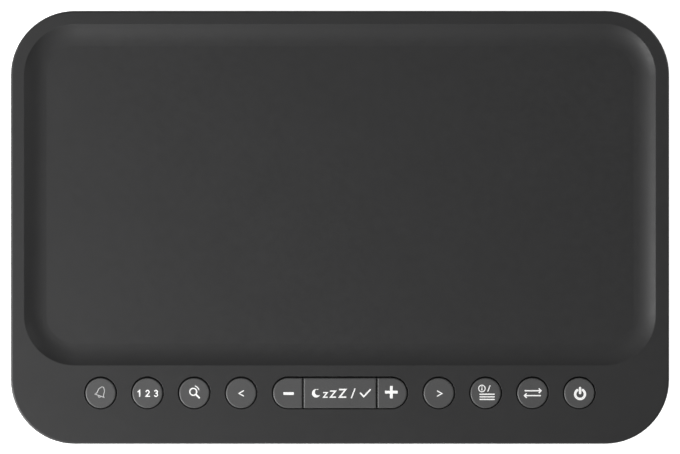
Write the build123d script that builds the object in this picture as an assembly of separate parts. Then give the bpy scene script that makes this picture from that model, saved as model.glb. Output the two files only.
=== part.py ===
from build123d import *
import os

# A tabletop clock radio: a low box with a phone tray in its top and a row of keys
# along the front edge. Millimetres, +Z up, front towards -Y, +X to the right of
# someone facing the front. The origin is on the table, under the middle of the case.

# ---------------------------------------------------------------- driving sizes
WIDTH = 190.0
DEPTH = 125.0
TOP_Z = 62.0              # top face of the case above the table
CORNER_R = 18.5           # corner radius of the case seen from above
WALL = 2.5
EDGE_ROUND = 0.7
FIT = 0.15                # gap between mouldings that slot together

# tray in the top
RIM = 3.95                # flat rim beside and behind the tray
TRAY_FRONT_Y = -39.8
TRAY_DEPTH = 2.1
TRAY_DRAFT = 53.0         # degrees that the tray's wall leans out
COVE_R = 10.2             # radius where the tray's wall runs into its floor
TRAY_SIDE = 3.0           # thickness of the tray's wall, measured level
TRAY_FLOOR = 2.2          # thickness of the tray's floor
RIM_ROUND = 0.3

# seams between top cover, housing and base
SKIRT_Z = 52.2            # lower edge of the top cover's skirt
SEAM_GAP = 0.4            # shadow line under the skirt
LAP = 1.2                 # thickness of each half of a lap joint
LAP_HEIGHT = 1.4
BASE_Z = 2.0              # lower edge of the housing
BASE_PLATE = 2.4

# keys
KEY_Y = -47.7
KEY_DIA = 8.75
KEY_HOLE_DIA = 9.45
CAP_SET = 0.1             # how far towards the front the caps sit in their holes
KEY_PROUD = 0.25
KEY_EDGE = 0.4
KEY_TRAVEL = 0.8
KEY_PITCH = 13.5
FIRST_KEY_X = 28.5        # nearest round key to the middle
BAR_LENGTH = 39.3         # hole for the three keys of the middle bar
BAR_SPLIT_X = 10.65       # where the bar is divided
BAR_SPLIT_GAP = 0.35
FLANGE_WIDER = 2.0        # key flange beyond the cap, on the diameter
FLANGE_THICK = 1.0
STEM_R = 2.0
PLUNGER_R = 1.7
SWITCH_SIDE = 6.2
SWITCH_HEIGHT = 3.6

# front band: lens in the middle, a grille each side
BAND_Z = 27.8
BAND_HEIGHT = 40.0
BAND_R = 2.5
REBATE = 1.5              # depth of the recess that lens and grilles sit in
LENS_WIDTH = 72.0
GRILLE_WIDTH = 38.0
SPEAKER_X = 56.4
WINDOW = (62.0, 27.0)
PERF_R = 1.0
PERF_PITCH = 2.9

# rear bay that holds the sockets
BAY = (96.0, 20.0)
BAY_DEPTH = 10.0
BAY_WALL = 1.5
SOCKET_Z = 18.6
AERIAL_X, DC_X, USB_X, PHONES_X = -36.0, -12.0, 12.0, 34.5
AERIAL_R = 4.76           # thread of an F-type aerial socket
NUT_THICK = 2.5
PHONES_R = 1.8            # hole for a 3.5 mm plug
DC_HOLE_R, DC_PIN_R = 2.9, 1.0
USB_SLOT = (13.6, 6.2)
DC_CLEAR_R, PHONES_CLEAR_R = 4.4, 3.8   # holes in the panel that plugs pass through

# boards and fixings
BOARD_THICK = 1.6
MAIN_BOARD_Z = 10.5
KEY_BOARD_Z = 49.4
CASE_POST = (82.0, 47.0)
CASE_POST_R = 3.6
POST_LOW_Z = 12.0
CASE_SCREW_R = 1.5
SMALL_SCREW_R = 1.2
SMALL_SCREW_LENGTH = 5.0
SMALL_POST_R = 2.3
PILOT_MORE = 0.05         # how much wider a pilot hole is than its screw, on the radius
FOOT = (66.0, 45.0)
FOOT_R = 7.0
FOOT_RECESS = 0.6

# ---------------------------------------------------------------- worked out from them
FRONT_Y = -DEPTH / 2
BACK_Y = DEPTH / 2
WALL_IN_Y = FRONT_Y + WALL           # inner face of the front wall
TRAY_W = WIDTH - 2 * RIM
TRAY_D = BACK_Y - RIM - TRAY_FRONT_Y
TRAY_Y = (BACK_Y - RIM + TRAY_FRONT_Y) / 2
TRAY_R = CORNER_R - RIM
PLATE_Z = TOP_Z - WALL               # underside of the top plate
TRAY_UNDER_Z = TOP_Z - TRAY_DEPTH - TRAY_FLOOR
SEAM_Z = SKIRT_Z - SEAM_GAP
KEY_BOARD_TOP = KEY_BOARD_Z + BOARD_THICK
SWITCH_TOP = KEY_BOARD_TOP + SWITCH_HEIGHT
FLANGE_TOP = PLATE_Z - 0.2
FLANGE_LOW = FLANGE_TOP - FLANGE_THICK
STEM_LOW = SWITCH_TOP + 2.0
MAIN_TOP = MAIN_BOARD_Z + BOARD_THICK
BASE_LOW = BASE_Z + 0.1
BASE_TOP = BASE_LOW + BASE_PLATE
BAY_FLOOR_Y = BACK_Y - BAY_DEPTH
BASE_ALIGN = (Align.CENTER, Align.CENTER, Align.MIN)
CASE_POSTS = [(sx * CASE_POST[0], sy * CASE_POST[1]) for sx in (-1, 1) for sy in (-1, 1)]
FEET = [(sx * FOOT[0], sy * FOOT[1]) for sx in (-1, 1) for sy in (-1, 1)]
KEY_BOARD_POSTS = [(x, -56.2) for x in (-62.0, -22.0, 22.0, 62.0)]
MAIN_BOARD_POSTS = [(x, y) for x in (-62.0, 62.0) for y in (-26.0, 44.0)]
CHARGER_POSTS = [(x, TRAY_Y + y) for x in (-35.0, 35.0) for y in (-17.0, 17.0)]
CHARGER_POST_LOW = TRAY_UNDER_Z - 3.4
DISPLAY_POSTS = [(x, BAND_Z + z) for x in (-31.0, 31.0) for z in (-17.2, 17.2)]
DISPLAY_POST_LENGTH = 5.5
SPEAKER_SCREW = 16.6                 # speaker screws, each way from its centre
SPEAKER_POST_LENGTH = 3.0

ROUND_KEYS = {
    "alarm": -FIRST_KEY_X - 3 * KEY_PITCH,
    "presets": -FIRST_KEY_X - 2 * KEY_PITCH,
    "scan": -FIRST_KEY_X - KEY_PITCH,
    "previous": -FIRST_KEY_X,
    "next": FIRST_KEY_X,
    "menu": FIRST_KEY_X + KEY_PITCH,
    "mode": FIRST_KEY_X + 2 * KEY_PITCH,
    "power": FIRST_KEY_X + 3 * KEY_PITCH,
}
BAR_END_X = (BAR_LENGTH / 2 + BAR_SPLIT_X) / 2
BAR_KEYS = {
    "minus": (-BAR_LENGTH, -BAR_SPLIT_X - BAR_SPLIT_GAP / 2, -BAR_END_X),
    "snooze": (-BAR_SPLIT_X + BAR_SPLIT_GAP / 2, BAR_SPLIT_X - BAR_SPLIT_GAP / 2, 0.0),
    "plus": (BAR_SPLIT_X + BAR_SPLIT_GAP / 2, BAR_LENGTH, BAR_END_X),
}
SWITCH_X = {**ROUND_KEYS, **{name: place[2] for name, place in BAR_KEYS.items()}}


# ---------------------------------------------------------------- small helpers
def plan(inset=0.0):
    """The case's outline from above, moved in by inset."""
    return RectangleRounded(WIDTH - 2 * inset, DEPTH - 2 * inset, CORNER_R - inset)


def slab(sketch, low, high):
    """A flat outline made solid between two heights."""
    return extrude(Pos(0, 0, low) * sketch, amount=high - low)


def block(x, y, z):
    """A box from its (low, high) along X, Y and Z."""
    size = [high - low for low, high in (x, y, z)]
    centre = [(high + low) / 2 for low, high in (x, y, z)]
    return Pos(*centre) * Box(*size)


def column(x, y, radius, low, high):
    """An upright round post."""
    return Pos(x, y, low) * Cylinder(radius, high - low, align=BASE_ALIGN)


def rod(x, z, radius, front, back):
    """A round bar along Y."""
    return Pos(x, front, z) * Rot(-90, 0, 0) * Cylinder(radius, back - front, align=BASE_ALIGN)


def panel(x, z, width, height, radius, front, back):
    """A plate with rounded corners that stands upright, facing front."""
    face = Plane(origin=(x, front, z), x_dir=(1, 0, 0), z_dir=(0, 1, 0))
    return extrude(face * RectangleRounded(width, height, radius), amount=back - front)


def turned(points):
    """A ring turned about Z from its half section, a list of (radius, height)."""
    section = make_face(Polyline([(r, 0, z) for r, z in points], close=True))
    return revolve(section, Axis.Z, 360)


def ring(inner, outer, low, high):
    return turned([(inner, low), (outer, low), (outer, high), (inner, high)])


def screw(head_r, head_h, shank_r, length, slot):
    """A cross-head screw: its head bears on Z = 0 from below and its shank points up."""
    body = Cylinder(shank_r, length, align=BASE_ALIGN)
    head = Pos(0, 0, -head_h) * Cylinder(head_r, head_h, align=BASE_ALIGN)
    head = chamfer(head.faces().sort_by(Axis.Z)[0].edges(), head_h * 0.3)
    bit = Pos(0, 0, -head_h) * (Box(slot, slot / 4, head_h) + Box(slot / 4, slot, head_h))
    return body + head - bit


def small_screw():
    return screw(2.3, 1.7, SMALL_SCREW_R, SMALL_SCREW_LENGTH, 2.6)


def tube(points, radius):
    """A round lead along straight runs joined by arcs as large as the runs allow."""
    route = [Vector(*p) for p in points]
    radii = []
    for before, here, after in zip(route, route[1:], route[2:]):
        a, b = here - before, after - here
        half_turn = a.get_angle(b) / 2
        shorter = min(a.length, b.length)
        radii.append(0.45 * shorter / tan_degrees(half_turn))
    path = FilletPolyline(*route, radius=radii)
    start = Plane(origin=path @ 0, z_dir=path % 0)
    return sweep(start * Circle(radius), path=path)


def tan_degrees(angle):
    line = Vector(1, 0, 0).rotate(Axis.Z, angle)
    return line.Y / line.X


def ribbon(points, x, width, thick):
    """A flat cable that bends in the YZ plane, from a list of (y, z)."""
    plane = Plane(origin=(x - width / 2, 0, 0), x_dir=(0, 1, 0), z_dir=(1, 0, 0))
    line = FilletPolyline(*points, radius=2.5)
    strip = offset(line, amount=thick / 2, side=Side.BOTH)
    return extrude(plane * make_face(strip.edges()), amount=width)


# ---------------------------------------------------------------- case mouldings
def tray_block(side=0.0, floor=0.0, more_cove=0.0):
    """The space of the tray, or with side and floor the outside of its walls."""
    outline = RectangleRounded(TRAY_W + 2 * side, TRAY_D + 2 * side, TRAY_R + side)
    form = extrude(Pos(0, TRAY_Y, TOP_Z) * outline, amount=-(TRAY_DEPTH + floor), taper=TRAY_DRAFT)
    return fillet(form.faces().sort_by(Axis.Z)[0].edges(), COVE_R + more_cove)


def bar_outline(length, width):
    return Pos(0, KEY_Y) * SlotOverall(length, width)


def top_cover():
    cover = slab(plan(), SKIRT_Z, TOP_Z)
    cover = fillet(cover.faces().sort_by(Axis.Z)[-1].edges(), EDGE_ROUND)
    cavity = slab(plan(WALL), SKIRT_Z, PLATE_Z) - tray_block(TRAY_SIDE, TRAY_FLOOR, 1.2)
    cover -= cavity
    cover -= slab(plan(LAP), SKIRT_Z, SKIRT_Z + LAP_HEIGHT)
    cover -= tray_block()
    top = cover.faces().sort_by(Axis.Z)[-1]
    rim = top.inner_wires().sort_by(SortBy.LENGTH)[-1]
    cover = fillet(rim.edges(), RIM_ROUND)
    for x in ROUND_KEYS.values():
        cover -= column(x, KEY_Y, KEY_HOLE_DIA / 2, PLATE_Z, TOP_Z)
    cover -= slab(bar_outline(BAR_LENGTH, KEY_HOLE_DIA), PLATE_Z, TOP_Z)
    for x, y in CASE_POSTS:
        high = PLATE_Z + 1 if y < 0 else TRAY_UNDER_Z + 1
        cover += column(x, y, CASE_POST_R, POST_LOW_Z, high)
        cover -= column(x, y, CASE_SCREW_R + PILOT_MORE, POST_LOW_Z, POST_LOW_Z + 11)
    for x, y in KEY_BOARD_POSTS:
        cover += column(x, y, SMALL_POST_R, KEY_BOARD_TOP, PLATE_Z + 1)
        cover -= column(x, y, SMALL_SCREW_R + PILOT_MORE, KEY_BOARD_TOP, KEY_BOARD_TOP + 5)
    for x, y in CHARGER_POSTS:
        cover += column(x, y, SMALL_POST_R, CHARGER_POST_LOW, TRAY_UNDER_Z + 1)
        cover -= column(x, y, SMALL_SCREW_R + PILOT_MORE, CHARGER_POST_LOW, CHARGER_POST_LOW + 4.2)
    return cover


def housing():
    wall = slab(plan(), BASE_Z, SEAM_Z)
    wall = chamfer(wall.faces().sort_by(Axis.Z)[0].edges(), 0.6)
    wall += slab(plan(LAP + FIT), SEAM_Z, SKIRT_Z + LAP_HEIGHT - FIT)
    wall -= slab(plan(WALL), BASE_Z, TOP_Z)
    wall -= slab(plan(LAP), BASE_Z, BASE_TOP + 0.1)
    # front band
    back_of_rebate = FRONT_Y + REBATE
    wall -= panel(0, BAND_Z, LENS_WIDTH, BAND_HEIGHT, BAND_R, FRONT_Y, back_of_rebate)
    wall -= panel(0, BAND_Z, *WINDOW, 1.5, back_of_rebate, WALL_IN_Y)
    for x, z in DISPLAY_POSTS:
        end = WALL_IN_Y + DISPLAY_POST_LENGTH
        wall += rod(x, z, 2.2, WALL_IN_Y - 0.5, end)
        wall -= rod(x, z, SMALL_SCREW_R + PILOT_MORE, end - 4.2, end)
    for side in (-1, 1):
        x = side * SPEAKER_X
        end = WALL_IN_Y + SPEAKER_POST_LENGTH
        wall += rod(x, BAND_Z, 19.3, WALL_IN_Y - 0.5, end)
        for dx, dz in ((-1, -1), (-1, 1), (1, -1), (1, 1)):
            place = (x + dx * SPEAKER_SCREW, BAND_Z + dz * SPEAKER_SCREW)
            wall += rod(*place, 2.2, WALL_IN_Y - 0.5, end)
            wall -= rod(*place, SMALL_SCREW_R + PILOT_MORE, end - 3.6, end)
        wall -= rod(x, BAND_Z, 17.8, back_of_rebate, end)
        wall -= panel(x, BAND_Z, GRILLE_WIDTH, BAND_HEIGHT, BAND_R, FRONT_Y, back_of_rebate)
    # back
    wall -= panel(0, SOCKET_Z, *BAY, BAND_R, BACK_Y - WALL, BACK_Y)
    for i in range(15):
        wall -= panel((i - 7) * 5.0, 41.5, 2.0, 11.0, 0.95, BACK_Y - WALL, BACK_Y)
    return wall


def bottom_cover():
    base = slab(plan(LAP + FIT), BASE_LOW, BASE_TOP)
    for x, y in CASE_POSTS:
        base += column(x, y, 5.0, BASE_LOW, POST_LOW_Z)
        base -= column(x, y, 3.3, BASE_LOW, POST_LOW_Z - 3)
        base -= column(x, y, CASE_SCREW_R + 0.3, BASE_LOW, POST_LOW_Z)
    for x, y in MAIN_BOARD_POSTS:
        base += column(x, y, 2.8, BASE_LOW + 1, MAIN_BOARD_Z)
        base -= column(x, y, SMALL_SCREW_R + PILOT_MORE, MAIN_BOARD_Z - 5, MAIN_BOARD_Z)
    for x, y in FEET:
        base -= column(x, y, FOOT_R + 0.1, BASE_LOW, BASE_LOW + FOOT_RECESS)
    base -= slab(RectangleRounded(64, 34, 2), BASE_LOW, BASE_LOW + 0.3)
    for i in range(9):
        slot = Pos((i - 4) * 6.0, -36) * SlotOverall(16, 2, rotation=90)
        base -= slab(slot, BASE_LOW, BASE_TOP)
    return base


def connector_panel():
    width, height = BAY[0] - 2 * FIT, BAY[1] - 2 * FIT
    inner = (width - 2 * BAY_WALL, height - 2 * BAY_WALL)
    tub = panel(0, SOCKET_Z, width, height, BAND_R - FIT, BAY_FLOOR_Y - 2, BACK_Y)
    tub += panel(0, SOCKET_Z, width + 6, height + 6, 4, BACK_Y - WALL - 1.6, BACK_Y - WALL - 0.1)
    tub -= panel(0, SOCKET_Z, *inner, BAND_R - 1, BAY_FLOOR_Y, BACK_Y)
    through = (BAY_FLOOR_Y - 2, BAY_FLOOR_Y)
    for x, radius in ((DC_X, DC_CLEAR_R), (PHONES_X, PHONES_CLEAR_R)):
        tub -= rod(x, SOCKET_Z, radius, *through)
        sink = Cone(radius, radius + 0.6, 0.6, align=BASE_ALIGN)
        tub -= Pos(x, BAY_FLOOR_Y - 0.6, SOCKET_Z) * Rot(-90, 0, 0) * sink
    tub -= rod(AERIAL_X, SOCKET_Z, AERIAL_R + 0.2, *through)
    return tub - panel(USB_X, SOCKET_Z, *USB_SLOT, 0.4, *through)


def grille(side):
    """A perforated plate: hexagonal rows of round holes, all inside its margin."""
    width, height = GRILLE_WIDTH - 0.3, BAND_HEIGHT - 0.3
    outline = RectangleRounded(width, height, BAND_R - 0.15)
    margin_x, margin_z = width / 2 - 2.2, height / 2 - 2.2
    row_step = PERF_PITCH * 0.866
    rows = int(margin_z / row_step)
    spots = []
    for row in range(-rows, rows + 1):
        shift = PERF_PITCH / 2 if row % 2 else 0.0
        columns = int((margin_x - shift) / PERF_PITCH)
        first = -columns - (1 if shift else 0)
        spots += [(i * PERF_PITCH + shift, row * row_step) for i in range(first, columns + 1)]
    sheet = outline - [Pos(*spot) * Circle(PERF_R) for spot in spots]
    face = Plane(origin=(side * SPEAKER_X, FRONT_Y, BAND_Z), x_dir=(1, 0, 0), z_dir=(0, 1, 0))
    return extrude(face * sheet, amount=REBATE)


def display_lens():
    return panel(0, BAND_Z, LENS_WIDTH - 0.3, BAND_HEIGHT - 0.3, BAND_R - 0.15, FRONT_Y, FRONT_Y + REBATE)


def rubber_foot(x, y):
    foot = column(x, y, FOOT_R, 0, BASE_LOW + FOOT_RECESS)
    return fillet(foot.faces().sort_by(Axis.Z)[0].edges(), 0.6)


# ---------------------------------------------------------------- keys and switches
def round_key(x):
    cap = column(x, KEY_Y - CAP_SET, KEY_DIA / 2, FLANGE_LOW, TOP_Z + KEY_PROUD)
    cap = fillet(cap.faces().sort_by(Axis.Z)[-1].edges(), KEY_EDGE)
    cap += column(x, KEY_Y, (KEY_DIA + FLANGE_WIDER) / 2, FLANGE_LOW, FLANGE_TOP)
    return cap + column(x, KEY_Y, STEM_R, STEM_LOW, FLANGE_LOW)


def bar_key(low_x, high_x, stem_x):
    cap_length = BAR_LENGTH - (KEY_HOLE_DIA - KEY_DIA)
    slice_ = block((low_x, high_x), (KEY_Y - 10, KEY_Y + 10), (FLANGE_LOW, TOP_Z + KEY_PROUD))
    cap = slab(Pos(0, -CAP_SET) * bar_outline(cap_length, KEY_DIA), FLANGE_LOW, TOP_Z + KEY_PROUD) & slice_
    cap = fillet(cap.faces().sort_by(Axis.Z)[-1].edges(), KEY_EDGE)
    flange = bar_outline(cap_length + FLANGE_WIDER, KEY_DIA + FLANGE_WIDER)
    cap += slab(flange, FLANGE_LOW, FLANGE_TOP) & slice_
    return cap + column(stem_x, KEY_Y, STEM_R, STEM_LOW, FLANGE_LOW)


def plunger(x):
    """The part of a tactile switch that a key pushes down."""
    return column(x, KEY_Y, PLUNGER_R, SWITCH_TOP - 1, STEM_LOW)


def switch_body(x):
    half = SWITCH_SIDE / 2
    body = block((x - half, x + half), (KEY_Y - half, KEY_Y + half), (KEY_BOARD_TOP, SWITCH_TOP))
    return body - column(x, KEY_Y, PLUNGER_R + 0.1, SWITCH_TOP - 2, SWITCH_TOP)


def key_board():
    board = Pos(0, -49.9) * RectangleRounded(150, 17.4, 2)
    holes = [Pos(*spot) * Circle(SMALL_SCREW_R + 0.2) for spot in KEY_BOARD_POSTS]
    return slab(board - holes, KEY_BOARD_Z, KEY_BOARD_TOP)


# ---------------------------------------------------------------- display
LCD = (66.0, 29.5)
LCD_THICK, LIGHT_THICK = 2.0, 3.5
DISPLAY_BOARD_Y = WALL_IN_Y + DISPLAY_POST_LENGTH


def lcd_panel():
    return panel(0, BAND_Z, *LCD, 0.5, WALL_IN_Y, WALL_IN_Y + LCD_THICK)


def backlight():
    return panel(0, BAND_Z, *LCD, 1.0, WALL_IN_Y + LCD_THICK, DISPLAY_BOARD_Y)


def display_board():
    board = panel(0, BAND_Z, 70, 39, 1.5, DISPLAY_BOARD_Y, DISPLAY_BOARD_Y + BOARD_THICK)
    for x, z in DISPLAY_POSTS:
        board -= rod(x, z, SMALL_SCREW_R + 0.2, DISPLAY_BOARD_Y, DISPLAY_BOARD_Y + BOARD_THICK)
    return board


# ---------------------------------------------------------------- speakers
# Each is drawn about Z with its front at the wall's inner face and its magnet at the
# high end, then laid down along Y.
FLANGE_FRONT = SPEAKER_POST_LENGTH
FLANGE_BACK = FLANGE_FRONT + 1.5
BASKET_END = 14.5
MAGNET_FRONT = BASKET_END + 1.5
MAGNET_BACK = MAGNET_FRONT + 8.0
COIL_IN, COIL_OUT = 6.55, 6.95
CONE_R = 14.6
ROLL_R, ROLL_MID = 1.1, 15.75
SKIN = 0.35


def in_place(shape, side):
    return Pos(side * SPEAKER_X, WALL_IN_Y, BAND_Z) * Rot(-90, 0, 0) * shape


def speaker_frame(side):
    flange = slab(RectangleRounded(39, 39, 4) - Circle(16.8), FLANGE_FRONT, FLANGE_BACK)
    basket = turned([(16.8, FLANGE_BACK - 1), (18.3, FLANGE_BACK - 1), (18.3, FLANGE_BACK),
                     (12.6, BASKET_END), (11.2, BASKET_END), (16.8, FLANGE_BACK + 0.4)])
    for turn in range(4):
        basket -= Rot(0, 0, 45 + 90 * turn) * block((8, 22), (-5, 5), (6.5, 12.5))
    frame = flange + basket + ring(7.5, 12.6, BASKET_END, MAGNET_FRONT)
    for dx, dy in ((-1, -1), (-1, 1), (1, -1), (1, 1)):
        frame -= column(dx * SPEAKER_SCREW, dy * SPEAKER_SCREW, SMALL_SCREW_R + 0.2,
                        FLANGE_FRONT, FLANGE_BACK)
    return in_place(frame, side)


def speaker_magnet(side):
    magnet = Pos(0, 0, MAGNET_FRONT) * Cylinder(14, MAGNET_BACK - MAGNET_FRONT, align=BASE_ALIGN)
    magnet -= ring(COIL_IN - 0.35, COIL_OUT + 0.35, MAGNET_FRONT, MAGNET_BACK - 1.5)
    return in_place(magnet, side)


def speaker_cone(side):
    """Paper cone with its edge lip, dust cap and voice coil former in one."""
    neck = 12.0
    cone = turned([(13.8, FLANGE_FRONT), (CONE_R, FLANGE_FRONT), (CONE_R, FLANGE_FRONT + 0.5),
                   (COIL_OUT, neck + 0.6), (COIL_OUT, 20), (COIL_IN, 20), (COIL_IN, neck - 0.2)])
    dome = turned([(0, neck - 2.4), (3.5, neck - 1.8), (COIL_IN + 0.2, neck - 0.4),
                   (COIL_IN + 0.2, neck + 0.2), (3.5, neck - 1.3), (0, neck - 1.9)])
    return in_place(cone + dome, side)


def speaker_suspension(side):
    """The soft half-roll round the cone and the spider that centres its coil."""
    half = Rot(90, 0, 0) * (Circle(ROLL_R) - Circle(ROLL_R - SKIN))
    half = Pos(ROLL_MID, 0, FLANGE_FRONT) * half
    roll = revolve(half, Axis.Z, 360) & ring(13, 18, 0, FLANGE_FRONT)
    lands = ring(13.8, ROLL_MID - ROLL_R + 0.2, FLANGE_FRONT - SKIN, FLANGE_FRONT)
    lands += ring(ROLL_MID + ROLL_R - 0.2, 17.6, FLANGE_FRONT - SKIN, FLANGE_FRONT)
    spider = turned([(COIL_OUT + 0.05, 13.2), (11.9, 13.2), (11.68, 13.6), (COIL_OUT + 0.05, 13.6)])
    return in_place(Compound([roll + lands, spider]), side)


# ---------------------------------------------------------------- boards and sockets
def main_board():
    board = Pos(0, 9.1) * RectangleRounded(136, 82.2, 2)
    holes = [Pos(*spot) * Circle(SMALL_SCREW_R + 0.2) for spot in MAIN_BOARD_POSTS]
    return slab(board - holes, MAIN_BOARD_Z, MAIN_TOP)


def tuner_module():
    can = block((26, 58), (4, 28), (MAIN_TOP, MAIN_TOP + 4))
    return chamfer(can.faces().sort_by(Axis.Z)[-1].edges(), 0.4)


def board_components():
    """Chips, capacitors and cable headers, each a separate solid on its board."""
    chips = [(-20, 6, 14, 14, 1.4), (-50, -6, 9, 9, 1.2), (4, 26, 8, 8, 1.2), (-44, 22, 12, 12, 5.0)]
    parts = [block((x - w / 2, x + w / 2), (y - d / 2, y + d / 2), (MAIN_TOP, MAIN_TOP + h))
             for x, y, w, d, h in chips]
    parts += [column(x, y, 4.0, MAIN_TOP, MAIN_TOP + 11) for x, y in ((-56, 34), (-46, 34), (50, 36))]
    for x, width in KEY_HEADER, DISPLAY_HEADER:
        parts.append(block((x - width / 2, x + width / 2), (-30, -25), (MAIN_TOP, MAIN_TOP + 2.4)))
    x, width = KEY_HEADER
    parts.append(block((x - width / 2, x + width / 2), (-46.5, -41.5), (KEY_BOARD_Z - 2.4, KEY_BOARD_Z)))
    x, width = DISPLAY_HEADER
    back = DISPLAY_BOARD_Y + BOARD_THICK
    parts.append(block((x - width / 2, x + width / 2), (back, back + 2.4), (16, 21)))
    parts += [block((x - 4, x + 4), (y - 3, y + 3), (CHARGER_POST_LOW - 4.2, CHARGER_POST_LOW - 1.2))
              for x, y in ((-16, TRAY_Y), (-2, TRAY_Y), (12, TRAY_Y + 8))]
    return Compound(parts)


def charger_board():
    board = Pos(0, TRAY_Y) * RectangleRounded(76, 41, 2)
    holes = [Pos(*spot) * Circle(SMALL_SCREW_R + 0.2) for spot in CHARGER_POSTS]
    return slab(board - holes, CHARGER_POST_LOW - 1.2, CHARGER_POST_LOW)


def charging_coil():
    return Pos(0, TRAY_Y, 0) * ring(10, 22, TRAY_UNDER_Z - 1.0, TRAY_UNDER_Z)


def ferrite_plate():
    return slab(Pos(0, TRAY_Y) * RectangleRounded(48, 48, 2), TRAY_UNDER_Z - 1.9, TRAY_UNDER_Z - 1.0)


SOCKET_FACE_Y = BAY_FLOOR_Y - 2.2    # the sockets stop just behind the panel


def dc_socket():
    body = block((DC_X - 4.5, DC_X + 4.5), (36.5, SOCKET_FACE_Y), (MAIN_TOP, SOCKET_Z + 4.6))
    body -= rod(DC_X, SOCKET_Z, DC_HOLE_R, 40.5, SOCKET_FACE_Y)
    return body + rod(DC_X, SOCKET_Z, DC_PIN_R, 40.5, SOCKET_FACE_Y - 0.8)


def usb_socket():
    body = block((USB_X - 6.6, USB_X + 6.6), (36.5, SOCKET_FACE_Y), (MAIN_TOP, SOCKET_Z + 2.9))
    body -= block((USB_X - 6.25, USB_X + 6.25), (39, SOCKET_FACE_Y), (SOCKET_Z - 2.55, SOCKET_Z + 2.55))
    return body + block((USB_X - 5.5, USB_X + 5.5), (39, SOCKET_FACE_Y - 1), (SOCKET_Z, SOCKET_Z + 1.84))


def headphone_socket():
    body = block((PHONES_X - 4, PHONES_X + 4), (38, SOCKET_FACE_Y), (MAIN_TOP, SOCKET_Z + 4.2))
    return body - rod(PHONES_X, SOCKET_Z, PHONES_R, 39.5, SOCKET_FACE_Y)


def aerial_socket():
    """The thread is drawn plain, and steps in where the nut is done up."""
    body = block((AERIAL_X - 6.5, AERIAL_X + 6.5), (40.3, SOCKET_FACE_Y), (MAIN_TOP, SOCKET_Z + 6.5))
    body += rod(AERIAL_X, SOCKET_Z, AERIAL_R - 0.3, SOCKET_FACE_Y, BAY_FLOOR_Y + NUT_THICK + 1)
    sleeve = rod(AERIAL_X, SOCKET_Z, AERIAL_R, BAY_FLOOR_Y + NUT_THICK, BACK_Y - 1)
    sleeve = chamfer(sleeve.faces().sort_by(Axis.Y)[-1].edges(), 0.4)
    return body + sleeve - rod(AERIAL_X, SOCKET_Z, 0.6, BACK_Y - 8, BACK_Y)


def aerial_nut():
    face = Plane(origin=(AERIAL_X, BAY_FLOOR_Y, SOCKET_Z), x_dir=(1, 0, 0), z_dir=(0, 1, 0))
    nut = RegularPolygon(7.0, 6, major_radius=False) - Circle(AERIAL_R - 0.25)
    return extrude(face * nut, amount=NUT_THICK)


# ---------------------------------------------------------------- cables inside
KEY_HEADER = (-8.0, 14.0)            # x and width
DISPLAY_HEADER = (14.0, 16.0)


def key_ribbon():
    x, width = KEY_HEADER
    low, high = MAIN_TOP + 2.4, KEY_BOARD_Z - 2.4
    return ribbon([(-44, high - 0.3), (-36, high - 0.3), (-36, 22), (-22, 22), (-22, low + 0.3),
                   (-28, low + 0.3)], x, width - 2, 0.3)


def display_ribbon():
    x, width = DISPLAY_HEADER
    start = DISPLAY_BOARD_Y + BOARD_THICK + 2.4 + 0.15
    return ribbon([(start, 18.5), (-40, 18.5), (-40, 30), (-28, 30), (-28, MAIN_TOP + 2.4 + 0.15)],
                  x, width - 2, 0.3)


def speaker_leads():
    """A lead from each speaker's magnet end to the main board."""
    leads = []
    for side in (-1, 1):
        leads.append(tube([(side * 52, WALL_IN_Y + MAGNET_BACK, BAND_Z), (side * 52, -28, BAND_Z),
                           (side * 46, -22, 22), (side * 46, -22, MAIN_TOP)], 0.7))
    return Compound(leads)


def charger_lead():
    return tube([(-26, TRAY_Y, CHARGER_POST_LOW - 1.2), (-26, TRAY_Y, 40), (-30, TRAY_Y - 6, 28),
                 (-30, TRAY_Y - 6, MAIN_TOP)], 0.9)


# ---------------------------------------------------------------- fasteners
def case_screws():
    one = screw(2.9, 2.2, CASE_SCREW_R, 13, 3.4)
    return Compound([Pos(x, y, POST_LOW_Z - 3) * one for x, y in CASE_POSTS])


def small_screws():
    one = small_screw()
    up = [Pos(x, y, KEY_BOARD_Z) * one for x, y in KEY_BOARD_POSTS]
    up += [Pos(x, y, CHARGER_POST_LOW - 1.2) * one for x, y in CHARGER_POSTS]
    down = [Pos(x, y, MAIN_TOP) * Rot(180, 0, 0) * one for x, y in MAIN_BOARD_POSTS]
    back = DISPLAY_BOARD_Y + BOARD_THICK
    forward = [Pos(x, back, z) * Rot(90, 0, 0) * one for x, z in DISPLAY_POSTS]
    for side in (-1, 1):
        for dx, dz in ((-1, -1), (-1, 1), (1, -1), (1, 1)):
            place = (side * SPEAKER_X + dx * SPEAKER_SCREW, WALL_IN_Y + FLANGE_BACK, BAND_Z + dz * SPEAKER_SCREW)
            forward.append(Pos(*place) * Rot(90, 0, 0) * one)
    return Compound(up + down + forward)


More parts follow.
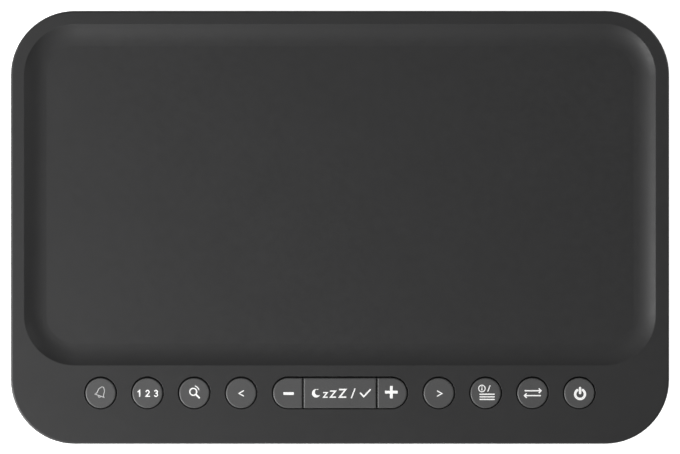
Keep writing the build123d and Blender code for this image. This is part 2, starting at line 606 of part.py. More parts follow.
# ---------------------------------------------------------------- every node
parts = {
    "top_cover": top_cover(),
    "housing": housing(),
    "bottom_cover": bottom_cover(),
    "connector_panel": connector_panel(),
    "display_lens": display_lens(),
    "lcd_panel": lcd_panel(),
    "backlight": backlight(),
    "display_board": display_board(),
    "grille_left": grille(-1),
    "grille_right": grille(1),
    "switch_bodies": Compound([switch_body(x) for x in SWITCH_X.values()]),
    "key_board": key_board(),
    "main_board": main_board(),
    "tuner_module": tuner_module(),
    "board_components": board_components(),
    "charger_board": charger_board(),
    "charging_coil": charging_coil(),
    "ferrite_plate": ferrite_plate(),
    "dc_socket": dc_socket(),
    "usb_socket": usb_socket(),
    "headphone_socket": headphone_socket(),
    "aerial_socket": aerial_socket(),
    "aerial_nut": aerial_nut(),
    "rubber_feet": Compound([rubber_foot(x, y) for x, y in FEET]),
    "case_screws": case_screws(),
    "small_screws": small_screws(),
    "key_ribbon": key_ribbon(),
    "display_ribbon": display_ribbon(),
    "speaker_leads": speaker_leads(),
    "charger_lead": charger_lead(),
}
for name, x in ROUND_KEYS.items():
    parts["key_" + name] = round_key(x)
for name, place in BAR_KEYS.items():
    parts["key_" + name] = bar_key(*place)
for name, x in SWITCH_X.items():
    parts["plunger_" + name] = plunger(x)
for side, word in ((-1, "left"), (1, "right")):
    parts["speaker_frame_" + word] = speaker_frame(side)
    parts["speaker_magnet_" + word] = speaker_magnet(side)
    parts["speaker_cone_" + word] = speaker_cone(side)
    parts["speaker_suspension_" + word] = speaker_suspension(side)

os.makedirs("parts", exist_ok=True)
for name, shape in parts.items():
    export_step(shape, f"parts/{name}.step")
print(len(parts), "nodes")
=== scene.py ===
import math

import bmesh
import bpy
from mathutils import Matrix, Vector


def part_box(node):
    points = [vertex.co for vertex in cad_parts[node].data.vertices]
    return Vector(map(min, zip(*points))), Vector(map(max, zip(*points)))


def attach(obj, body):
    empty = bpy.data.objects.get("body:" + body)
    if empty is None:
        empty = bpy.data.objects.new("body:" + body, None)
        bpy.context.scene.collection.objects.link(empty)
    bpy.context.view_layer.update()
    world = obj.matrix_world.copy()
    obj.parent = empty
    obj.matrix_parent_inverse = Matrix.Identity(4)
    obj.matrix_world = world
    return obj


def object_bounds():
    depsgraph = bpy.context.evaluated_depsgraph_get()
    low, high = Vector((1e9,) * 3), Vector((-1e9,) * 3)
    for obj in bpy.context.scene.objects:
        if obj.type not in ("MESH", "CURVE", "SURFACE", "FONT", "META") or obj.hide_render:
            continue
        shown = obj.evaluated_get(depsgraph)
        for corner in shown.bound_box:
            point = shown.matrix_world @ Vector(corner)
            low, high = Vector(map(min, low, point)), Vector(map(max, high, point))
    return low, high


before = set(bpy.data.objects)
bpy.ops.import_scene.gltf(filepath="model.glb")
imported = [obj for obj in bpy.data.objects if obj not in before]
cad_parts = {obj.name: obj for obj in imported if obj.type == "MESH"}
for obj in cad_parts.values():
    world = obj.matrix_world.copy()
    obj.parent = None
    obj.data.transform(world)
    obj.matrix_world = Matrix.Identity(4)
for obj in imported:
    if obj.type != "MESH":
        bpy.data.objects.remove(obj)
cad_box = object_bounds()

MM = 0.001
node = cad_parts
KEY_NAMES = ("alarm", "presets", "scan", "previous", "minus", "snooze", "plus", "next", "menu", "mode",
             "power")

FRAME_FILL = 1.0320                       # width that the camera sees, over the case's width
CAMERA_BACK = 0.1 * MM                    # how far behind the case's middle the camera is
FLOOR_HALF = 6.0                          # half the floor's side, in metres
FLOOR_GLOW = 0.92                         # keeps the floor nearly white under weak lamps
WORLD_GLOW = 0.06
AIM_BELOW_TOP = 2 * MM                    # the lamps aim at about the tray's floor
KEY_INK = 0.03                            # height of the ink on the keys, in millimetres
FLAT_INK = 0.02                           # height of the ink on the display and by the sockets
INK_STEP = 0.003                          # each mark is this much higher than the last, so none coincide
INK_ROOT = 0.02                           # how far the ink reaches into the face under it


# ---------------------------------------------------------------- camera and stage
def look_at(thing, target, up="Y"):
    direction = Vector(target) - thing.location
    thing.rotation_euler = direction.to_track_quat("-Z", up).to_euler()


low, high = cad_box
middle = (Vector(low) + Vector(high)) / 2
top_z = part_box("top_cover")[1].z
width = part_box("top_cover")[1].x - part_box("top_cover")[0].x

lens = bpy.data.cameras.new("view")
lens.sensor_width = 36
lens.lens = 135
lens.clip_end = 50
camera = bpy.data.objects.new("view", lens)
bpy.context.scene.collection.objects.link(camera)
seen_width = width * FRAME_FILL
camera.location = (middle.x, middle.y + CAMERA_BACK, top_z + seen_width * lens.lens / lens.sensor_width)
camera.rotation_euler = (0, 0, 0)
bpy.context.scene.camera = camera

mesh = bpy.data.meshes.new("floor")
corners = [(x * FLOOR_HALF, y * FLOOR_HALF, 0) for x, y in ((-1, -1), (1, -1), (1, 1), (-1, 1))]
mesh.from_pydata(corners, [], [(0, 1, 2, 3)])
floor = bpy.data.objects.new("floor", mesh)
bpy.context.scene.collection.objects.link(floor)
floor.visible_diffuse = False             # the white table would light the sides more than soft light does


def softbox(name, azimuth, elevation, distance, size, power):
    """A soft light aimed at the top of the case. Azimuth is in degrees, with 270 in front of the case."""
    data = bpy.data.lights.new(name, "AREA")
    data.shape = "RECTANGLE"
    data.size, data.size_y = size
    data.energy = power
    lamp = bpy.data.objects.new(name, data)
    bpy.context.scene.collection.objects.link(lamp)
    aim = Vector((middle.x, middle.y, top_z - AIM_BELOW_TOP))
    turn, rise = math.radians(azimuth), math.radians(elevation)
    away = Vector((math.cos(turn) * math.cos(rise), math.sin(turn) * math.cos(rise), math.sin(rise)))
    lamp.location = aim + distance * away
    look_at(lamp, aim)


softbox("key", 210, 28, 0.6, (0.35, 0.25), 2.77)
softbox("left_strip", 195, 20, 0.6, (0.35, 0.2), 1.51)
softbox("left_high", 180, 45, 0.6, (0.35, 0.25), 0.28)
softbox("overhead", 180, 75, 0.8, (0.5, 0.5), 0.19)
softbox("front_fill", 270, 40, 0.7, (0.5, 0.3), 0.32)
softbox("front_high", 270, 65, 0.8, (0.5, 0.3), 0.11)
softbox("back_fill", 90, 40, 0.7, (0.5, 0.3), 0.17)
softbox("right_strip", 0, 15, 0.7, (0.3, 0.15), 0.27)
softbox("right_back", 30, 30, 0.7, (0.3, 0.2), 0.74)

world = bpy.data.worlds.new("studio")
bpy.context.scene.world = world
world.use_nodes = True
world.node_tree.nodes["Background"].inputs["Color"].default_value = (1, 1, 1, 1)
world.node_tree.nodes["Background"].inputs["Strength"].default_value = WORLD_GLOW
bpy.context.scene.view_settings.view_transform = "Standard"
bpy.context.scene.view_settings.look = "None"


# ---------------------------------------------------------------- materials
class Surface:
    """A Principled material built up from a few procedural layers in object space."""

    def __init__(self, name, colour, roughness, metallic=0.0, specular=0.5):
        self.mat = bpy.data.materials.new(name)
        self.mat.use_nodes = True
        self.tree = self.mat.node_tree
        self.tree.nodes.clear()
        self.out = self.add("ShaderNodeOutputMaterial")
        self.bsdf = self.add("ShaderNodeBsdfPrincipled")
        self.link(self.bsdf, "BSDF", self.out, "Surface")
        self.set("Base Color", (*colour, 1))
        self.set("Roughness", roughness)
        self.set("Metallic", metallic)
        self.set("Specular IOR Level", specular)
        self.colour, self.roughness = colour, roughness
        self.place = self.add("ShaderNodeTexCoord").outputs["Object"]
        self.normal = None

    def add(self, kind, **settings):
        made = self.tree.nodes.new(kind)
        for key, value in settings.items():
            if key in made.inputs:
                made.inputs[key].default_value = value
            else:
                setattr(made, key, value)
        return made

    def link(self, source, output, target, socket):
        self.tree.links.new(source.outputs[output], target.inputs[socket])

    def set(self, socket, value):
        self.bsdf.inputs[socket].default_value = value

    def noise(self, scale, detail=2.0, rough=0.5, stretch=(1, 1, 1)):
        mapping = self.add("ShaderNodeMapping")
        mapping.inputs["Scale"].default_value = stretch
        self.tree.links.new(self.place, mapping.inputs["Vector"])
        made = self.add("ShaderNodeTexNoise", Scale=scale, Detail=detail, Roughness=rough)
        self.link(mapping, "Vector", made, "Vector")
        return made.outputs["Fac"]

    def ramp(self, value, low, high, low_to, high_to):
        made = self.add("ShaderNodeMapRange")
        for socket, number in zip(("From Min", "From Max", "To Min", "To Max"), (low, high, low_to, high_to)):
            made.inputs[socket].default_value = number
        self.tree.links.new(value, made.inputs["Value"])
        return made.outputs["Result"]

    def mix(self, factor, first, second):
        """A colour between first and second, each a colour or a socket."""
        made = self.add("ShaderNodeMix", data_type="RGBA")
        self.tree.links.new(factor, made.inputs["Factor"])
        for socket, value in ((made.inputs[6], first), (made.inputs[7], second)):
            if isinstance(value, tuple):
                socket.default_value = (*value, 1)
            else:
                self.tree.links.new(value, socket)
        return made.outputs[2]

    def tint(self, factor, second):
        """Mixes the present base colour towards second."""
        found = self.bsdf.inputs["Base Color"]
        first = found.links[0].from_socket if found.is_linked else self.colour
        self.tree.links.new(self.mix(factor, first, second), found)
        return self

    def mottle(self, scale, amount, detail=3.0, stretch=(1, 1, 1)):
        """Slight unevenness of colour."""
        factor = self.ramp(self.noise(scale, detail, 0.55, stretch), 0.3, 0.7, 0, 1)
        darker = tuple(c * (1 - amount) for c in self.colour)
        lighter = tuple(min(1, c * (1 + amount)) for c in self.colour)
        self.tree.links.new(self.mix(factor, darker, lighter), self.bsdf.inputs["Base Color"])
        return self

    def uneven_gloss(self, scale, spread, stretch=(1, 1, 1)):
        least, most = self.roughness - spread, self.roughness + spread
        value = self.ramp(self.noise(scale, 3, 0.6, stretch), 0.3, 0.7, least, most)
        self.tree.links.new(value, self.bsdf.inputs["Roughness"])
        return self

    def soft_edges(self, radius, shine=None):
        """Rounds sharp edges in the shading, and lightens their colour by shine: a painted highlight along
        every edge.
        """
        made = self.add("ShaderNodeBevel", samples=4)
        made.inputs["Radius"].default_value = radius
        self.normal = made.outputs["Normal"]
        self.tree.links.new(self.normal, self.bsdf.inputs["Normal"])
        if shine:
            true = self.add("ShaderNodeNewGeometry").outputs["Normal"]
            dot = self.add("ShaderNodeVectorMath", operation="DOT_PRODUCT")
            self.tree.links.new(self.normal, dot.inputs[0])
            self.tree.links.new(true, dot.inputs[1])
            # painted highlight: edges get a lighter base colour, as if they caught the light
            painted_edge_highlight = tuple(min(1, c * shine) for c in self.colour)
            self.tint(self.ramp(dot.outputs["Value"], 0.99, 0.85, 0, 1), painted_edge_highlight)
        return self

    def bump(self, height, strength, depth):
        made = self.add("ShaderNodeBump")
        made.inputs["Strength"].default_value = strength
        made.inputs["Distance"].default_value = depth
        self.tree.links.new(height, made.inputs["Height"])
        if self.normal:
            self.tree.links.new(self.normal, made.inputs["Normal"])
        self.normal = made.outputs["Normal"]
        self.tree.links.new(self.normal, self.bsdf.inputs["Normal"])
        return self

    def grain(self, scale, strength, depth, detail=2.0, stretch=(1, 1, 1)):
        return self.bump(self.noise(scale, detail, 0.6, stretch), strength, depth)

    def axis(self, which):
        made = self.add("ShaderNodeSeparateXYZ")
        self.tree.links.new(self.place, made.inputs["Vector"])
        return made.outputs[which]

    def math(self, operation, first, second=0.0):
        made = self.add("ShaderNodeMath", operation=operation)
        for socket, value in zip(made.inputs, (first, second)):
            if isinstance(value, (int, float)):
                socket.default_value = value
            else:
                self.tree.links.new(value, socket)
        return made.outputs[0]


def moulded(name, colour, roughness, sparkle=0.3):
    """Spark-textured injection moulding: a fine even grain, with faint cloudiness from the mould."""
    made = Surface(name, colour, roughness)
    made.mottle(70, 0.035)
    made.uneven_gloss(420, 0.05)
    made.soft_edges(0.25 * MM, 1.35)
    made.grain(2600, sparkle, 0.02 * MM, 3.0)
    return made.mat


def plated(name, colour, roughness, stretch):
    """Bright plated metal with faint drawing marks."""
    made = Surface(name, colour, roughness, metallic=1.0)
    made.mottle(150, 0.08)
    made.uneven_gloss(900, 0.08, stretch)
    made.soft_edges(0.1 * MM, 1.1)
    made.grain(1200, 0.1, 0.01 * MM, 2.0, stretch)
    return made.mat


case_plastic = moulded("case_plastic", (0.036, 0.036, 0.0365), 0.5)
base_plastic = moulded("base_plastic", (0.026, 0.026, 0.0265), 0.55, 0.45)
panel_plastic = moulded("panel_plastic", (0.016, 0.016, 0.0165), 0.48)
key_plastic = moulded("key_plastic", (0.105, 0.105, 0.1055), 0.44, 1.0)
switch_plastic = moulded("switch_plastic", (0.03, 0.03, 0.03), 0.4)
plunger_plastic = moulded("plunger_plastic", (0.62, 0.61, 0.56), 0.4)
socket_plastic = moulded("socket_plastic", (0.012, 0.012, 0.012), 0.35)
light_plastic = moulded("light_plastic", (0.75, 0.76, 0.74), 0.35)

nickel = plated("nickel", (0.66, 0.65, 0.62), 0.24, (1, 0.1, 1))
tin = plated("tin", (0.6, 0.6, 0.6), 0.34, (1, 0.15, 1))
screw_metal = plated("screw_metal", (0.42, 0.42, 0.43), 0.32, (1, 1, 0.2))

paint = Surface("grille_paint", (0.016, 0.016, 0.0165), 0.42)
paint.mottle(200, 0.08).uneven_gloss(700, 0.06).soft_edges(0.12 * MM, 1.6)
paint.grain(1800, 0.35, 0.02 * MM, 2.0)
grille_paint = paint.mat

rubber = Surface("foot_rubber", (0.014, 0.014, 0.0145), 0.72)
rubber.mottle(120, 0.12).uneven_gloss(500, 0.06).soft_edges(0.3 * MM, 1.5)
rubber.grain(1500, 0.5, 0.04 * MM, 3.0)
foot_rubber = rubber.mat

basket = Surface("speaker_paint", (0.02, 0.02, 0.021), 0.4)
basket.mottle(200, 0.1).grain(1600, 0.3, 0.03 * MM)
speaker_paint = basket.mat

iron = Surface("magnet_iron", (0.16, 0.16, 0.165), 0.55, metallic=0.8)
iron.mottle(300, 0.25).uneven_gloss(600, 0.1).grain(900, 0.5, 0.05 * MM, 4.0)
magnet_iron = iron.mat

paper = Surface("cone_paper", (0.02, 0.02, 0.021), 0.75)
paper.mottle(500, 0.35, 4.0).grain(1400, 0.7, 0.08 * MM, 4.0)
paper.set("Sheen Weight", 0.2)
cone_paper = paper.mat

soft = Surface("suspension_rubber", (0.012, 0.012, 0.012), 0.5)
soft.mottle(200, 0.1).grain(700, 0.25, 0.03 * MM)
suspension_rubber = soft.mat

board = Surface("circuit_board", (0.012, 0.09, 0.035), 0.3)
tracks = board.add("ShaderNodeTexBrick", offset=0.37, squash=0.6, squash_frequency=3)
tracks.inputs["Scale"].default_value = 260
tracks.inputs["Mortar Size"].default_value = 0.07
board.tree.links.new(board.place, tracks.inputs["Vector"])
board.mottle(90, 0.15)
board.tint(board.ramp(tracks.outputs["Fac"], 0, 1, 0, 0.55), (0.03, 0.2, 0.07))
board.bump(tracks.outputs["Fac"], 0.4, 0.03 * MM)
board.set("Coat Weight", 0.4)
circuit_board = board.mat

chip = Surface("components", (0.02, 0.02, 0.02), 0.5)
chip.mottle(300, 0.2).uneven_gloss(500, 0.08).soft_edges(0.1 * MM, 1.4).grain(2000, 0.3, 0.02 * MM)
components = chip.mat

copper = Surface("coil_copper", (0.78, 0.36, 0.17), 0.3, metallic=1.0)
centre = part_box("charging_coil")
radius = copper.math("POWER", copper.math(
    "ADD",
    copper.math("POWER", copper.axis(0), 2.0),
    copper.math("POWER", copper.math("SUBTRACT", copper.axis(1), (centre[0].y + centre[1].y) / 2), 2.0)), 0.5)
turns = copper.math("PINGPONG", radius, 0.3 * MM)
copper.tint(copper.ramp(turns, 0, 0.3 * MM, 1, 0), (0.35, 0.12, 0.05))
copper.bump(copper.ramp(turns, 0, 0.3 * MM, 0, 1), 0.8, 0.2 * MM)
coil_copper = copper.mat

slab = Surface("ferrite", (0.05, 0.05, 0.055), 0.45)
slab.mottle(400, 0.3, 4.0).grain(1200, 0.4, 0.04 * MM, 4.0)
ferrite = slab.mat

cable = Surface("cable_plastic", (0.5, 0.5, 0.47), 0.45)
stripe = cable.math("PINGPONG", cable.axis(0), 0.5 * MM)
cable.tint(cable.ramp(stripe, 0.02 * MM, 0.2 * MM, 1, 0), (0.28, 0.28, 0.26))
cable.grain(600, 0.3, 0.03 * MM)
cable_plastic = cable.mat

floor_paint = Surface("floor_paint", (0.82, 0.82, 0.82), 0.85, specular=0.1)
floor_paint.mottle(8, 0.01)
floor_paint.set("Emission Color", (1, 1, 1, 1))
floor_paint.set("Emission Strength", FLOOR_GLOW)
floor.data.materials.append(floor_paint.mat)

ink = Surface("glowing_white_ink", (0.9, 0.9, 0.89), 0.5)
ink.mottle(900, 0.04).grain(3000, 0.3, 0.008 * MM)
# The ink glows a little: painted light that keeps the print white under the weak lamps.
ink.set("Emission Color", (1, 1, 1, 1))
ink.set("Emission Strength", 0.3)
glowing_white_ink = ink.mat
thin = Surface("grey_ink", (0.6, 0.6, 0.6), 0.5)
thin.mottle(900, 0.06).grain(3000, 0.3, 0.008 * MM)
grey_ink = thin.mat

# The lens is printed black on its back, apart from the window in front of the display.
smoked = Surface("smoked_lens", (0.006, 0.006, 0.007), 0.06, specular=0.2)
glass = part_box("lcd_panel")
window_x, window_z, window_mid = 30.8 * MM, 13.3 * MM, (glass[0].z + glass[1].z) / 2
across = smoked.math("ABSOLUTE", smoked.axis(0))
upright = smoked.math("ABSOLUTE", smoked.math("SUBTRACT", smoked.axis(2), window_mid))
clear = smoked.math(
    "MULTIPLY",
    smoked.ramp(across, window_x - 0.1 * MM, window_x, 1, 0),
    smoked.ramp(upright, window_z - 0.1 * MM, window_z, 1, 0))
smoked.tree.links.new(smoked.ramp(clear, 0, 1, 1.0, 0.45), smoked.bsdf.inputs["Alpha"])
smoked.uneven_gloss(60, 0.02)
smoked_lens = smoked.mat

crystal = Surface("display_glass", (0.01, 0.014, 0.016), 0.25, specular=0.12)
crystal.mottle(40, 0.1)
display_glass = crystal.mat

lit = Surface("lit_segments", (0.7, 0.85, 0.9), 0.4)
glow = lit.mix(lit.ramp(lit.noise(120, 2), 0.3, 0.7, 0, 1), (0.62, 0.86, 1.0), (0.72, 0.92, 1.0))
lit.tree.links.new(glow, lit.bsdf.inputs["Emission Color"])
lit.set("Emission Strength", 2.4)
lit_segments = lit.mat


def paint_node(name, material):
    node[name].data.materials.clear()
    node[name].data.materials.append(material)


finishes = {
    "top_cover": case_plastic, "housing": case_plastic, "bottom_cover": base_plastic,
    "connector_panel": panel_plastic, "display_lens": smoked_lens, "lcd_panel": display_glass,
    "backlight": light_plastic, "display_board": circuit_board, "key_board": circuit_board,
    "main_board": circuit_board, "charger_board": circuit_board, "grille_left": grille_paint,
    "grille_right": grille_paint, "switch_bodies": switch_plastic, "tuner_module": tin,
    "board_components": components, "charging_coil": coil_copper, "ferrite_plate": ferrite,
    "dc_socket": socket_plastic, "headphone_socket": socket_plastic, "usb_socket": nickel,
    "aerial_socket": nickel, "aerial_nut": nickel, "rubber_feet": foot_rubber,
    "case_screws": screw_metal, "small_screws": screw_metal, "key_ribbon": cable_plastic,
    "display_ribbon": cable_plastic, "speaker_leads": cable_plastic, "charger_lead": cable_plastic,
}
for side in ("left", "right"):
    finishes["speaker_frame_" + side] = speaker_paint
    finishes["speaker_magnet_" + side] = magnet_iron
    finishes["speaker_cone_" + side] = cone_paper
    finishes["speaker_suspension_" + side] = suspension_rubber
for name in KEY_NAMES:
    finishes["key_" + name] = key_plastic
    finishes["plunger_" + name] = plunger_plastic
for name, material in finishes.items():
    paint_node(name, material)


# ---------------------------------------------------------------- printed marks
def arc(centre, radius, start, end, steps=20):
    """Points along an arc, angles in degrees, anticlockwise from +x."""
    angles = [math.radians(start + (end - start) * i / steps) for i in range(steps + 1)]
    return [(centre[0] + radius * math.cos(a), centre[1] + radius * math.sin(a)) for a in angles]


def side_points(points, half, closed):
    """The two edges of a band of that half width along points."""
    left, right = [], []
    count = len(points)
    for i, here in enumerate(points):
        before = points[i - 1] if closed or i else here
        after = points[(i + 1) % count] if closed or i < count - 1 else here
        a = (Vector(here) - Vector(before)).normalized() if before != here else None
        b = (Vector(after) - Vector(here)).normalized() if after != here else None
        a, b = a or b, b or a
        along = (a + b).normalized()
        reach = half / max(0.35, along.dot(a))
        out = Vector((-along.y, along.x)) * reach
        left.append(Vector(here) + out)
        right.append(Vector(here) - out)
    return left, right


def line(points, stroke, closed=False):
    """A stroke with round ends, or a closed loop of it, as (outer outline, hole outline or None)."""
    left, right = side_points(points, stroke / 2, closed)
    if closed:
        return left, right
    ends = []
    for tip, inner in ((points[-1], points[-2]), (points[0], points[1])):
        facing = math.degrees(math.atan2(tip[1] - inner[1], tip[0] - inner[0]))
        ends.append([Vector(p) for p in arc(tip, stroke / 2, facing + 90, facing - 90, 8)[1:-1]])
    return left + ends[0] + right[::-1] + ends[1], None


def shape(points):
    return [Vector(p) for p in points], None


def disc(centre, radius):
    return shape(arc(centre, radius, 0, 348, 29))


def printed(name, outlines, origin, body, material, right=(1, 0, 0), up=(0, 1, 0), thick=KEY_INK):
    """Raised ink: flat marks in millimetres, set on a face of the object at origin."""
    right, up = Vector(right), Vector(up)
    out = right.cross(up)
    made = bmesh.new()
    for i, (outer, hole) in enumerate(outlines):
        top = thick + INK_STEP * i
        loops = [outer] if hole is None else [outer, hole]
        rings = []
        for loop in loops:
            for height in (-INK_ROOT, top):
                spots = [Vector(origin) + (right * p.x + up * p.y + out * height) * MM for p in loop]
                rings.append([made.verts.new(spot) for spot in spots])
        if hole is None:
            faces = [rings[1], rings[0][::-1]]
            walls = [(rings[0], rings[1])]
        else:
            n = len(outer)
            pairs = [(k, (k + 1) % n) for k in range(n)]
            faces = [[rings[1][a], rings[1][b], rings[3][b], rings[3][a]] for a, b in pairs]
            faces += [[rings[0][a], rings[2][a], rings[2][b], rings[0][b]] for a, b in pairs]
            walls = [(rings[0], rings[1]), (rings[3], rings[2])]
        for below, above in walls:
            n = len(below)
            faces += [[below[k], below[(k + 1) % n], above[(k + 1) % n], above[k]] for k in range(n)]
        for face in faces:
            made.faces.new(face)
    bmesh.ops.recalc_face_normals(made, faces=made.faces)
    data = bpy.data.meshes.new(name)
    made.to_mesh(data)
    made.free()
    data.materials.append(material)
    piece = bpy.data.objects.new(name, data)
    bpy.context.scene.collection.objects.link(piece)
    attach(piece, body)
    return piece


def moved(outlines, dx, dy, scale=1.0, turn=0.0):
    c, s = math.cos(math.radians(turn)), math.sin(math.radians(turn))

    def put(p):
        return Vector((dx + scale * (c * p.x - s * p.y), dy + scale * (s * p.x + c * p.y)))

    return [([put(p) for p in outer], hole and [put(p) for p in hole]) for outer, hole in outlines]


def bell(stroke):
    left = [(-1.35, -1.05), (-1.05, -0.65), (-0.95, 0.1), (-0.88, 0.75), (-0.55, 1.25)]
    dome = arc((0, 1.15), 0.5, 160, 20, 6)
    right = [(-x, y) for x, y in reversed(left)]
    return [line(left + dome + right, stroke, closed=True), line(arc((0, -1.1), 0.4, 200, 340, 8), stroke)]


def digit(which, stroke):
    if which == 1:
        return [line([(-0.35, 0.45), (0.1, 0.85), (0.1, -0.85)], stroke)]
    if which == 2:
        return [line(arc((0, 0.4), 0.45, 170, -30, 12) + [(-0.5, -0.85), (0.55, -0.85)], stroke)]
    upper, lower = arc((0, 0.43), 0.42, 150, -80, 12), arc((0, -0.42), 0.46, 90, -150, 12)
    return [line(upper, stroke), line(lower, stroke)]


def zigzag(size, stroke):
    h = size / 2
    return [line([(-h * 0.8, h), (h * 0.8, h), (-h * 0.8, -h), (h * 0.8, -h)], stroke)]


def moon(radius):
    outer = arc((0, 0), radius, 60, 330, 28)
    inner = arc((radius * 0.48, radius * 0.28), radius * 0.76, 306, 84, 22)
    return [shape(outer + inner)]


def arrow(length, stroke, head=0.55):
    h = length / 2
    tip = [(h - head, head), (h, 0), (h - head, -head)]
    return [line([(-h, 0), (h - 0.1, 0)], stroke), line(tip, stroke)]


def headphones(stroke):
    cups = [shape([(x, -0.1), (x + 0.5, -0.1), (x + 0.5, -1.2), (x, -1.2)]) for x in (-1.45, 0.95)]
    return [line(arc((0, 0), 1.2, 0, 180, 16), stroke)] + cups


# Each key's outlines, its ink, and where the mark's middle is from the key's, in millimetres.
marks = {
    "alarm": (moved(bell(0.25), 0.0, 0.0, 1.0, -20), grey_ink, (0.05, 0.15)),
    "presets": (moved(digit(1, 0.34), -2.4, 0) + moved(digit(2, 0.34), 0, 0) + moved(digit(3, 0.34), 2.4, 0),
                glowing_white_ink, (0.05, -0.15)),
    "scan": ([line(arc((-0.35, 0.3), 1.0, 0, 348, 29), 0.36, closed=True),
              line([(0.45, -0.5), (1.35, -1.4)], 0.5),
              line(arc((-0.35, 0.3), 1.75, 20, 70, 8), 0.3)], glowing_white_ink, (0.05, 0.0)),
    "previous": ([line([(0.65, 0.75), (-0.7, 0), (0.65, -0.75)], 0.28)], glowing_white_ink, (0.05, -0.15)),
    "next": ([line([(-0.65, 0.75), (0.7, 0), (-0.65, -0.75)], 0.28)], glowing_white_ink, (0.2, -0.2)),
    "minus": ([shape([(-1.5, -0.38), (1.5, -0.38), (1.5, 0.38), (-1.5, 0.38)])], glowing_white_ink, (0.0, -0.2)),
    "plus": ([shape([(-1.85, -0.4), (-0.4, -0.4), (-0.4, -1.8), (0.4, -1.8), (0.4, -0.4), (1.85, -0.4),
                     (1.85, 0.4), (0.4, 0.4), (0.4, 1.8), (-0.4, 1.8), (-0.4, 0.4), (-1.85, 0.4)])],
             glowing_white_ink, (0.0, 0.2)),
    "snooze": (moved(moon(1.2), -6.9, 0) + moved(zigzag(1.3, 0.34), -4.2, -0.45)
               + moved(zigzag(1.75, 0.38), -2.0, -0.22) + moved(zigzag(2.2, 0.42), 0.75, 0)
               + [line([(3.3, -1.3), (4.3, 1.3)], 0.34),
                  line([(5.9, 0.05), (6.85, -0.95), (8.7, 1.05)], 0.42)],
               glowing_white_ink, (0.0, -0.15)),
    "menu": ([line(arc((-1.35, 1.3), 0.95, 0, 348, 29), 0.26, closed=True),
              line([(-1.35, 1.35), (-1.35, 0.85)], 0.3),
              disc((-1.35, 1.78), 0.17), line([(0.35, 0.5), (1.0, 2.1)], 0.28)]
             + [line([(-1.9, y), (2.2, y)], 0.34) for y in (-0.35, -1.1, -1.85)], glowing_white_ink, (0.25, -0.05)),
    "mode": (moved(arrow(4.6, 0.36), 0.1, 0.7) + moved(arrow(4.6, 0.36), -0.1, -0.7, 1.0, 180),
             glowing_white_ink, (0.05, -0.1)),
    "power": ([line(arc((0, -0.15), 1.4, 125, 415, 36), 0.7), line([(0, 1.6), (0, 0.15)], 0.7)],
              glowing_white_ink, (0.2, -0.22)),
}
BAR_END_X = 14.8 * MM                     # middle of the minus and plus keys' flat tops
for name, (outlines, material, (dx, dy)) in marks.items():
    low_corner, high_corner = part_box("key_" + name)
    x = (low_corner.x + high_corner.x) / 2
    if name in ("minus", "plus"):
        x = math.copysign(BAR_END_X, x)
    y = (low_corner.y + high_corner.y) / 2
    place = (x + dx * MM, y + dy * MM, high_corner.z)
    mark = printed("mark_" + name, outlines, place, name + "_key", material)


# ---------------------------------------------------------------- display
def segments(figure, height, bar):
    """A seven-bar figure with pointed bars, centred on its own middle."""
    w, h = height * 0.46, height / 2
    lit_bars = {0: "abcdef", 1: "bc", 8: "abcdefg"}[figure]
    gap = bar * 0.62
    flat = {"a": h, "g": 0.0, "d": -h}
    upright = {"f": (-w / 2, 0, h), "b": (w / 2, 0, h), "e": (-w / 2, -h, 0), "c": (w / 2, -h, 0)}
    made = []
    for bar_name in lit_bars:
        half = bar / 2
        if bar_name in flat:
            y, a, b = flat[bar_name], -w / 2 + gap, w / 2 - gap
            points = [(a - half, y), (a, y + half), (b, y + half),
                      (b + half, y), (b, y - half), (a, y - half)]
        else:
            x, a, b = upright[bar_name]
            a, b = a + gap, b - gap
            points = [(x, a - half), (x + half, a), (x + half, b),
                      (x, b + half), (x - half, b), (x - half, a)]
        made.append(shape([(px + py * 0.1, py) for px, py in points]))
    return made


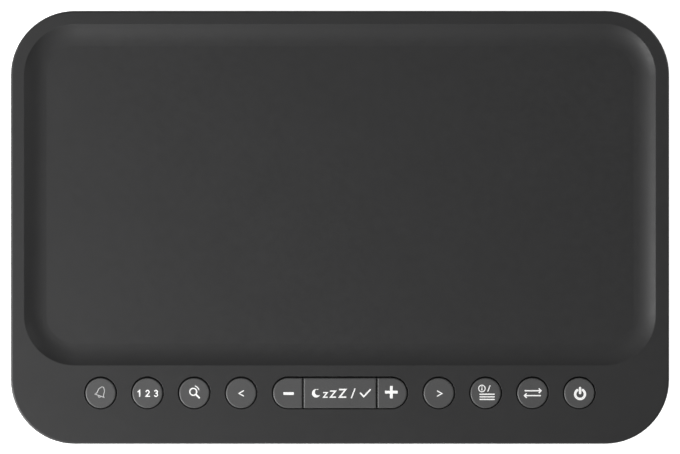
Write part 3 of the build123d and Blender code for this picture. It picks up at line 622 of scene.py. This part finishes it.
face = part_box("lcd_panel")
face_at = ((face[0].x + face[1].x) / 2, face[0].y, (face[0].z + face[1].z) / 2)
FIGURE_HEIGHT, BAR_WIDTH, FIGURE_UP = 14.5, 1.7, 0.6     # millimetres
COLON_DOT, STEP_FOOT, STEP_PITCH, STEP_RISE = 0.95, -9.8, 1.5, 0.9
time_marks = []
for figure, x in ((1, -17.5), (0, -7.2), (0, 8.0), (8, 18.3)):
    time_marks += moved(segments(figure, FIGURE_HEIGHT, BAR_WIDTH), x, FIGURE_UP)
time_marks += [disc((0.75, 4.0), COLON_DOT), disc((0.05, -2.8), COLON_DOT)]
time_marks += moved(bell(0.3), -27.3, 7.6, 1.0)
for i in range(3):                        # the signal sign's three steps
    x, top = 24.6 + STEP_PITCH * i, -8.6 + STEP_RISE * i
    time_marks.append(shape([(x, STEP_FOOT), (x + 1.0, STEP_FOOT), (x + 1.0, top), (x, top)]))
digits = printed("display_figures", time_marks, face_at, "case", lit_segments, (1, 0, 0), (0, 0, 1), FLAT_INK)


# ---------------------------------------------------------------- marks by the sockets
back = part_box("housing")[1].y
SIGN_RISE = 1.4 * MM                      # middle of the signs, above the bay's top edge
above_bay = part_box("connector_panel")[1].z + SIGN_RISE
port_marks = {
    "aerial_socket": [line([(0, -1.5), (0, 0.9)], 0.3), line([(-1.3, 1.5), (0, 0.1), (1.3, 1.5)], 0.3),
                      line([(-1.3, 1.5), (1.3, 1.5)], 0.3)],
    "dc_socket": [line(arc((0, 0), 0.85, 40, 320, 20), 0.28), disc((0, 0), 0.38),
                  line([(0.4, 0), (2.0, 0)], 0.24), line([(-2.0, 0), (-0.9, 0)], 0.24)],
    "usb_socket": [shape([(0.35, 1.6), (-0.95, -0.25), (-0.05, -0.25),
                          (-0.35, -1.6), (0.95, 0.25), (0.05, 0.25)])],
    "headphone_socket": moved(headphones(0.32), 0, -0.1),
}
for name, outlines in port_marks.items():
    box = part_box(name)
    place = ((box[0].x + box[1].x) / 2, back, above_bay)
    mark = printed("mark_" + name, outlines, place, "case", glowing_white_ink, (-1, 0, 0), (0, 0, 1), FLAT_INK)
